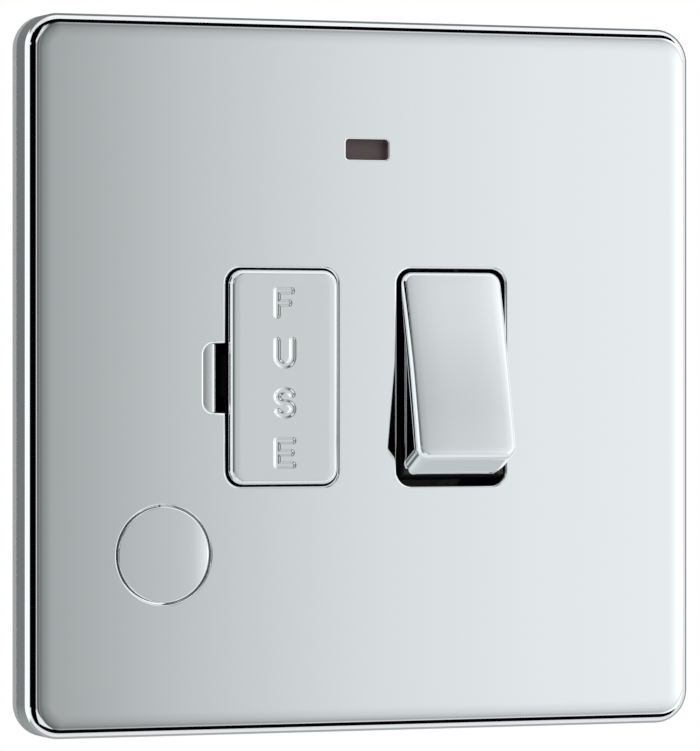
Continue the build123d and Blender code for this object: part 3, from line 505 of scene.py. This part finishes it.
def make_front_plate():
    """Pressed tray with a rolled edge and four openings, each with a softened rim."""
    plate = rolled_tile(
        "plate",
        (plate_low.x, face_y, plate_low.z),
        (plate_high.x, skirt_end, plate_high.z),
        plate_corner_r,
        plate_roll,
    )
    inside = tile(
        "inside",
        (plate_low.x + plate_sheet, back_y, plate_low.z + plate_sheet),
        (plate_high.x - plate_sheet, skirt_end + plate_sheet, plate_high.z - plate_sheet),
        plate_corner_r - plate_sheet,
    )
    combine(plate, inside, "DIFFERENCE")

    fuse = plate_cutter(
        -opening_x, opening_z, fuse_opening_width, fuse_opening_height, fuse_opening_r
    )
    notch_width = pry_width + fuse_opening_r
    notch = plate_cutter(pry_left + notch_width / 2, pry_z, notch_width, pry_height, pry_corner_r)
    combine(fuse, notch, "UNION")
    combine(plate, fuse, "DIFFERENCE")
    rocker = plate_cutter(
        opening_x, opening_z, rocker_opening_width, rocker_opening_height, rocker_opening_r
    )
    combine(plate, rocker, "DIFFERENCE")
    combine(plate, plate_cutter(0, lens_z, lens_width, lens_height, lens_corner_r), "DIFFERENCE")
    outlet = outlet_disc(knockout_r + knockout_slit / 2, face_y, back_y - face_y + 2 * plate_sheet)
    combine(plate, outlet, "DIFFERENCE")

    def wide_opening(edge):
        return opening_rim(edge) and not round_outlet(edge) and not round_lens(edge)

    def lens_opening(edge):
        return opening_rim(edge) and round_lens(edge)

    def outlet_opening(edge):
        return opening_rim(edge) and round_outlet(edge)

    bevel(plate, wide_opening, opening_edge_r, 10, opening_profile)
    bevel(plate, lens_opening, lens_edge_r, 6, opening_profile)
    bevel(plate, outlet_opening, knockout_edge_r, 4)
    smooth(plate, weight=100)
    finish_piece(plate, "chromed_plate", "plate", "front_plate")


def make_knockout():
    """The disc that is pushed out for the flex, bent in at its right edge, and the tab that holds it."""
    disc = outlet_disc(knockout_r - knockout_slit / 2, (face_y + back_y) / 2, plate_sheet)
    disc.name = "knockout_disc"
    bevel(disc, at_depth(face_y), knockout_edge_r, 4)
    slice_mesh(disc, [(outlet_x + share * knockout_r, 0, 0) for share in knockout_cuts], (1, 0, 0))
    for vert in disc.data.vertices:
        share = max(0.0, (vert.co.x - outlet_x) / knockout_r)
        vert.co.y += knockout_bend * share**knockout_bend_power
    smooth(disc, weight=50)
    finish_piece(disc, "chromed_plate", "plate")
    tab = block(
        "knockout_tab",
        (outlet_x - knockout_tab / 2, face_y + knockout_edge_r, outlet_z + knockout_r - knockout_slit),
        (outlet_x + knockout_tab / 2, back_y, outlet_z + knockout_r + knockout_slit),
    )
    finish_piece(tab, "chromed_plate", "plate")


def make_finger_ramp():
    """The ledge behind the finger notch: it curves forwards, then rounds off into the dark."""
    ramp = block(
        "finger_ramp",
        (pry_left - pry_ramp_root, back_y, pry_z - pry_height / 2),
        (pry_left + pry_ramp_width, back_y + pry_ramp_thick, pry_z + pry_height / 2),
    )
    flat_end = pry_left + pry_ramp_flat
    bevel(ramp, lambda edge: all(vert.co.x > flat_end for vert in edge.verts), pry_ramp_end_r, 8)
    spacing = pry_ramp_flat / pry_ramp_cuts
    slice_mesh(ramp, [(pry_left + cut * spacing, 0, 0) for cut in range(pry_ramp_cuts + 1)], (1, 0, 0))
    for vert in ramp.data.vertices:
        share = min(1.0, max(0.0, (vert.co.x - pry_left) / pry_ramp_flat))
        vert.co.y -= pry_ramp_lift * share * (2 - share)
    smooth(ramp, weight=50)
    finish_piece(ramp, "chromed_plate", "plate")


def letter_strokes(letter):
    """The centre lines of a capital, as lists of points across and up from its middle."""
    half, top = letter_width / 2, letter_height / 2

    def arc(middle, across, up, start, end):
        leg = (end - start) / letter_arc_legs
        turns = [radians(start + leg * number) for number in range(letter_arc_legs + 1)]
        return [(across * cos(turn), middle + up * sin(turn)) for turn in turns]

    def arm(up, reach):
        return [(-half, up), (reach, up)]

    stem = [(-half, top), (-half, -top)]
    if letter == "F":
        return [stem, arm(top, half * 0.82), arm(0, half * 0.5)]
    if letter == "E":
        return [stem, arm(top, half), arm(0, half * 0.8), arm(-top, half)]
    if letter == "U":
        return [[(-half, top)] + arc(half - top, half, half, 180, 360) + [(half, top)]]
    bowl = top / 2
    return [arc(bowl, half, bowl, 25, 270) + arc(-bowl, half, bowl, 90, -155)]


def press_letter(points, letter, middle_x, middle_z):
    """Pushes the points near the strokes of a letter inwards."""
    legs = [leg for line in letter_strokes(letter) for leg in zip(line, line[1:])]
    legs = [(Vector(start), Vector(end) - Vector(start)) for start, end in legs]
    for vert in points:
        place = Vector((vert.co.x - middle_x, vert.co.z - middle_z))
        gap = letter_field
        for start, way in legs:
            share = min(1.0, max(0.0, (place - start).dot(way) / way.length_squared))
            gap = min(gap, (place - start - way * share).length)
        share = min(1.0, max(0.0, (gap - letter_core) / letter_wall))
        vert.co.y += letter_depth * (1 - share * share * (3 - 2 * share))


def make_carrier_cap():
    """Plated tile with a rounded edge, hollow behind, with the word FUSE pressed into its face."""
    low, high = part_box("carrier_cap")
    cap = rolled_tile("fuse_carrier_face", low, high, carrier_corner_r, carrier_roll)
    inside = tile(
        "inside",
        (low.x + carrier_side, low.y + carrier_face_thick, low.z + carrier_side),
        (high.x - carrier_side, high.y + plate_sheet, high.z - carrier_side),
        carrier_corner_r - carrier_side,
    )
    combine(cap, inside, "DIFFERENCE")

    # each letter's square field is cut free and then divided finely enough to be pressed
    middle_x, half = (low.x + high.x) / 2, (high.x - low.x) / 2
    letters = {letter: letter_middle + (1.5 - row) * letter_pitch for row, letter in enumerate("FUSE")}
    field = letter_field / 2
    slice_mesh(cap, [(middle_x + share * field, 0, 0) for share in carrier_cuts], (1, 0, 0))
    slice_mesh(cap, [(0, 0, z + side * field) for z in letters.values() for side in (-1, 1)], (0, 0, 1))
    reach = 0.1 * mm

    def letter_face(face):
        middle = face.calc_center_median()
        in_row = any(abs(middle.z - z) < reach for z in letters.values())
        return faces_front(face) and in_row and abs(middle.x - middle_x) < reach

    select_faces(cap, letter_face)
    bpy.ops.mesh.subdivide(number_cuts=letter_cuts)
    bpy.ops.object.mode_set(mode="OBJECT")

    # the field's own border stays where it is, and so does all that lies behind the face
    inner = field * 0.999
    face_points = [vert for vert in cap.data.vertices if vert.co.y < low.y + carrier_dish]
    column = [vert for vert in face_points if abs(vert.co.x - middle_x) < inner]
    for letter, z in letters.items():
        press_letter([vert for vert in column if abs(vert.co.z - z) < inner], letter, middle_x, z)
    for vert in cap.data.vertices:
        across = (vert.co.x - middle_x) / half
        if vert.co.y < low.y + carrier_face_thick / 2:
            vert.co.y += carrier_dish * (1 - across * across) - carrier_lean * across * half
    smooth(cap, weight=50)
    finish_piece(cap, "chromed_trim", "fuse_carrier", "carrier_cap")


def rocker_wedge(name, inset, top):
    """A block from the rocker's skirt up to top that narrows upwards, set in from the shell's sides."""
    lean = (rocker_half_skirt - rocker_half_face) / (rocker_face - rocker_skirt)
    slant = inset * hypot(1, lean)
    foot_half = rocker_half_skirt - slant
    top_half = rocker_half_skirt - lean * (top - rocker_skirt) - slant
    half = rocker_width / 2 - inset
    piece = block(name, (-half, -top, -foot_half), (half, -rocker_skirt, foot_half))
    for vert in piece.data.vertices:
        if vert.co.y < -rocker_skirt * 1.01:
            vert.co.z *= top_half / foot_half
    return piece


def make_rocker_cap():
    """Plated shell of the rocker: a tapered tile with rounded edges, tipped at rest."""
    hinge = joints["rocker_hinge"]
    tilt = radians(hinge["range_deg"][1] / 2)
    half = rocker_width / 2
    dip_length = rocker_half_face - rocker_dip_start

    def corner(edge):
        depths = sorted(vert.co.y for vert in edge.verts)
        return depths[1] - depths[0] > rocker_skirt

    steps, rise = roll_steps(**rocker_roll)
    cap = rocker_wedge("rocker_face", 0, rocker_face - rise)
    bevel(cap, corner, rocker_corner_r, 12)
    roll_face(cap, steps)
    across = [(cut * half / rocker_cuts, 0, 0) for cut in range(1 - rocker_cuts, rocker_cuts)]
    slice_mesh(cap, across, (1, 0, 0))
    up = [(0, 0, rocker_dip_start + cut * dip_length / rocker_cuts) for cut in range(rocker_cuts)]
    slice_mesh(cap, up, (0, 0, 1))

    # the face is crowned across, and dips towards its upper end
    for vert in cap.data.vertices:
        front = max(0.0, (rise - rocker_face - vert.co.y) / rise)
        vert.co.y += rocker_crown * abs(vert.co.x / half) ** rocker_crown_power * front
        climb = max(0.0, vert.co.z - rocker_dip_start) / dip_length
        vert.co.y += rocker_dip * climb * climb * front

    hollow = rocker_wedge("hollow", rocker_wall, rocker_face - rocker_wall)
    for vert in hollow.data.vertices:
        if vert.co.y > -rocker_skirt * 1.01:
            vert.co.y += plate_sheet
    combine(cap, hollow, "DIFFERENCE")
    smooth(cap, weight=50)
    cap.location = hinge["pos_m"]
    cap.rotation_euler = (-tilt, 0, 0)
    activate(cap)
    bpy.ops.object.transform_apply(location=True, rotation=True, scale=True)
    finish_piece(cap, "chromed_trim", "rocker", "rocker_cap")


def dress_nodes():
    """Gives every CAD node the material of its slot, and smooth shading on its curves."""
    for name, node in frame["nodes"].items():
        node.data.materials.clear()
        node.data.materials.append(finishes[slots[name]])
        activate(node)
        bpy.ops.object.shade_smooth_by_angle(angle=radians(node_sharp))


def make_studio():
    """A studio of pale cards, black flags and softboxes, as mirrored in the plate's face and edges."""
    world = bpy.data.worlds.new("studio")
    bpy.context.scene.world = world
    world.use_nodes = True
    tree = world.node_tree
    tree.nodes.clear()
    way = add(tree, "TexCoord", {}, {}).outputs["Generated"]
    axis = add(tree, "SeparateXYZ", {}, {"Vector": way}).outputs

    def calc(operation, *values):
        return add(tree, "Math", {"operation": operation}, dict(enumerate(values))).outputs[0]

    def step(value, start, end):
        """0 before start and 1 past end, or the other way round where end is lower."""
        inputs = {"Value": value, "From Min": start, "From Max": end}
        return add(tree, "MapRange", {"interpolation_type": "SMOOTHSTEP"}, inputs).outputs["Result"]

    def between(value, low, high, soft):
        return calc("MULTIPLY", step(value, low - soft, low + soft), step(value, high + soft, high - soft))

    def lay(under, mask, over):
        return add(tree, "Mix", {"data_type": "FLOAT"}, {0: mask, 2: under, 3: over}).outputs[0]

    def ramp(value, *stops):
        """Straight runs between (value, level) stops, and flat beyond the ends."""
        low, high = stops[0][0], stops[-1][0]
        top = max(reached for at, reached in stops)
        limits = {"Value": value, "From Min": low, "From Max": high}
        share = add(tree, "MapRange", {}, limits).outputs["Result"]
        curve = add(tree, "ValToRGB", {}, {"Fac": share})
        marks = curve.color_ramp.elements
        for at, reached in stops:
            if at in (low, high):
                mark = marks[0] if at == low else marks[-1]
            else:
                mark = marks.new((at - low) / (high - low))
            mark.color = (reached / top, reached / top, reached / top, 1)
        return calc("MULTIPLY", curve.outputs["Color"], top)

    # degrees to the right and up from straight out of the wall, and height on the unit sphere
    forward = calc("MULTIPLY", axis["Y"], -1.0)
    turn = calc("DEGREES", calc("ARCTAN2", axis["X"], forward))
    rise = calc("DEGREES", calc("ARCTAN2", axis["Z"], forward))
    climb = calc("ABSOLUTE", rise)
    height = calc("ABSOLUTE", axis["Z"])
    mid_height = step(height, 0.6, 0.5)

    # turns at which the black flag, the dim strip and the graded card meet
    flag_start, flag_end, strip_end, card_end = -71.0, -9.0, 13.5, 60.0
    # pale gap in the black flag
    window = ((-46.0, 0.0), (-45.0, 0.75), (-36.0, 0.75), (-35.0, 0.0))

    # pale room, with a grey wall behind the object that is darker higher up
    behind = ramp(axis["Z"], (-0.5, 0.45), (0.0, 0.19), (0.5, 0.22))
    level = lay(0.95, step(axis["Y"], 0.15, 0.3), behind)
    # graded card that fills the plate's face: dark at its left end, bright at its right
    card_across = ramp(
        turn,
        (strip_end, 0.1), (17.0, 0.36), (19.3, 0.64), (21.4, 0.835), (23.3, 0.94), (24.9, 0.99), (28.5, 1.45),
    )
    card_up = ramp(
        climb,
        (4.1, 1.0), (8.5, 0.5), (12.0, 0.95), (20.0, 0.76), (24.0, 0.78), (29.0, 0.9), (60.0, 0.9),
    )
    card = calc("MULTIPLY", card_across, card_up)
    level = lay(level, calc("MULTIPLY", between(turn, strip_end, card_end, 1.0), mid_height), card)
    # dim strip between the card and the black flag on its left
    strip = ramp(turn, (flag_end, 0.05), (-3.0, 0.5), (3.0, 0.8), (6.0, 0.12), (strip_end, 0.1))
    strip_mask = calc("MULTIPLY", between(turn, flag_end, strip_end, 0.5), step(height, 0.15, 0.1))
    level = lay(level, strip_mask, strip)
    flag_mask = calc("MULTIPLY", between(turn, flag_start, flag_end, 1.0), step(height, 0.16, 0.12))
    level = lay(level, flag_mask, ramp(turn, *window))
    # the card and the flag higher up, which the tipped rocker mirrors
    high_across = ramp(
        turn,
        *window,
        (-8.0, 0.0), (-7.0, 0.6), (7.0, 0.8), (8.5, 0.03), (15.0, 0.05), (18.5, 0.45), (21.1, 0.57),
        (23.9, 0.72), (25.0, 0.79), (26.3, 0.87), (27.4, 0.94), (30.0, 1.17), (34.0, 1.3),
    )
    high_fade = ramp(
        rise,
        (16.0, 1.0), (19.0, 1.3), (22.0, 1.15), (24.5, 0.95), (25.0, 0.93), (26.5, 0.935),
        (28.5, 0.968), (30.0, 1.0), (32.0, 0.99), (34.0, 0.93), (40.0, 0.87), (60.0, 0.9),
    )
    high_up = calc("MULTIPLY", step(axis["Z"], 0.2, 0.25), step(axis["Z"], 0.64, 0.6))
    high_mask = calc("MULTIPLY", between(turn, flag_start, card_end, 1.0), high_up)
    level = lay(level, high_mask, calc("MULTIPLY", high_across, high_fade))
    # softboxes left, above and below
    level = lay(level, calc("MULTIPLY", between(turn, -145.0, -77.0, 2.0), mid_height), 1.15)
    top_mask = calc("MULTIPLY", between(climb, 45.0, 104.0, 2.0), step(axis["X"], -0.15, -0.05))
    level = lay(level, top_mask, ramp(rise, (-75.0, 0.95), (-50.0, 0.74), (45.0, 1.1)))
    # pale card low on the left, with a dark surround that draws edges and letters from the right
    low_left = (-0.641, -0.641, -0.423)
    nearness = add(tree, "VectorMath", {"operation": "DOT_PRODUCT"}, {0: way, 1: low_left}).outputs["Value"]
    level = lay(level, step(nearness, 0.925, 0.945), ramp(nearness, (0.984, 0.22), (0.991, 0.8)))

    light = add(tree, "LightPath", {}, {}).outputs
    plain = add(tree, "Background", {}, {"Color": (1, 1, 1, 1), "Strength": 0.75})
    mirrored = add(tree, "Background", {}, {"Color": (0.985, 1.0, 1.0, 1), "Strength": level})
    white = add(tree, "Background", {}, {"Color": (1, 1, 1, 1), "Strength": 1.0})
    through = calc("MAXIMUM", light["Is Glossy Ray"], light["Is Transmission Ray"])
    lit = add(tree, "MixShader", {}, {0: through, 1: plain.outputs[0], 2: mirrored.outputs[0]})
    seen = add(tree, "MixShader", {}, {0: light["Is Camera Ray"], 1: lit.outputs[0], 2: white.outputs[0]})
    add(tree, "OutputWorld", {}, {"Surface": seen.outputs[0]})


def make_flags():
    """Black flags close above, below and left, which draw the dark line along the plate's rolled edge."""
    material = bpy.data.materials.new("black_flag")
    material.use_nodes = True
    tree = material.node_tree
    tree.nodes.clear()
    felt = add(tree, "Emission", {}, {"Color": (0, 0, 0, 1), "Strength": 0.0})
    add(tree, "OutputMaterial", {}, {"Surface": felt.outputs[0]})
    for name, left, right, bottom, top in (
        ("flag_above", flag_edge_x, flag_right_x, flag_edge_z, flag_end_z),
        ("flag_below", flag_edge_x, flag_right_x, -flag_end_z, -flag_edge_z),
        ("flag_left", flag_left_x, flag_edge_x, -flag_end_z, flag_end_z),
    ):
        flag = block(name, (left, flag_front, bottom), (right, flag_back, top))
        flag.data.materials.append(material)
        flag.visible_camera = False
        flag.visible_diffuse = False
        flag.visible_shadow = False


def make_lamps():
    """Two soft lamps, above left and right, that only give the plastics their form."""
    for name, place, size, power in (
        ("lamp_above_left", (-0.5, -0.7, 0.7), 0.5, 6.0),
        ("lamp_right", (0.7, -0.6, 0.2), 0.5, 3.0),
    ):
        lamp = bpy.data.lights.new(name, "AREA")
        lamp.size = size
        lamp.energy = power
        holder = bpy.data.objects.new(name, lamp)
        bpy.context.scene.collection.objects.link(holder)
        holder.location = place
        holder.rotation_mode = "QUATERNION"
        holder.rotation_quaternion = (-Vector(place)).to_track_quat("-Z", "Y")
        holder.visible_glossy = False
        holder.visible_camera = False


def make_floor():
    """A round pale floor under the unit, white to the camera where no shadow falls."""
    deselect()
    place = (0, 0, cad_low.z - floor_drop)
    bpy.ops.mesh.primitive_circle_add(vertices=96, radius=floor_radius, fill_type="NGON", location=place)
    floor = bpy.context.object
    floor.name = "floor"
    bpy.ops.object.transform_apply(location=True, rotation=True, scale=True)
    material = bpy.data.materials.new("pale_floor")
    material.use_nodes = True
    tree = material.node_tree
    tree.nodes.clear()
    paint = add(tree, "BsdfDiffuse", {}, {"Color": linear("f0f0f0")})
    glow = add(tree, "Emission", {}, {"Color": (1, 1, 1, 1), "Strength": 1.0})
    camera_ray = add(tree, "LightPath", {}, {}).outputs["Is Camera Ray"]
    share = add(tree, "Math", {"operation": "MULTIPLY"}, {0: camera_ray, 1: 0.8})
    seen = add(tree, "MixShader", {}, {0: share.outputs[0], 1: paint.outputs[0], 2: glow.outputs[0]})
    add(tree, "OutputMaterial", {}, {"Surface": seen.outputs[0]})
    floor.data.materials.append(material)
    floor.visible_glossy = False


def make_camera():
    """The photograph's viewpoint: level, a little to the left of the unit."""
    data = bpy.data.cameras.new("camera")
    data.sensor_width = sensor
    data.lens = focal_length
    data.clip_start = 0.01
    camera = bpy.data.objects.new("camera", data)
    bpy.context.scene.collection.objects.link(camera)
    camera.location = camera_place
    camera.rotation_mode = "QUATERNION"
    camera.rotation_quaternion = camera_way.to_track_quat("-Z", "Y")
    bpy.context.scene.camera = camera


make_camera()
make_studio()
make_flags()
make_lamps()
make_floor()
dress_nodes()
make_front_plate()
make_knockout()
make_finger_ramp()
make_carrier_cap()
make_rocker_cap()
bpy.context.scene.view_settings.view_transform = "Standard"
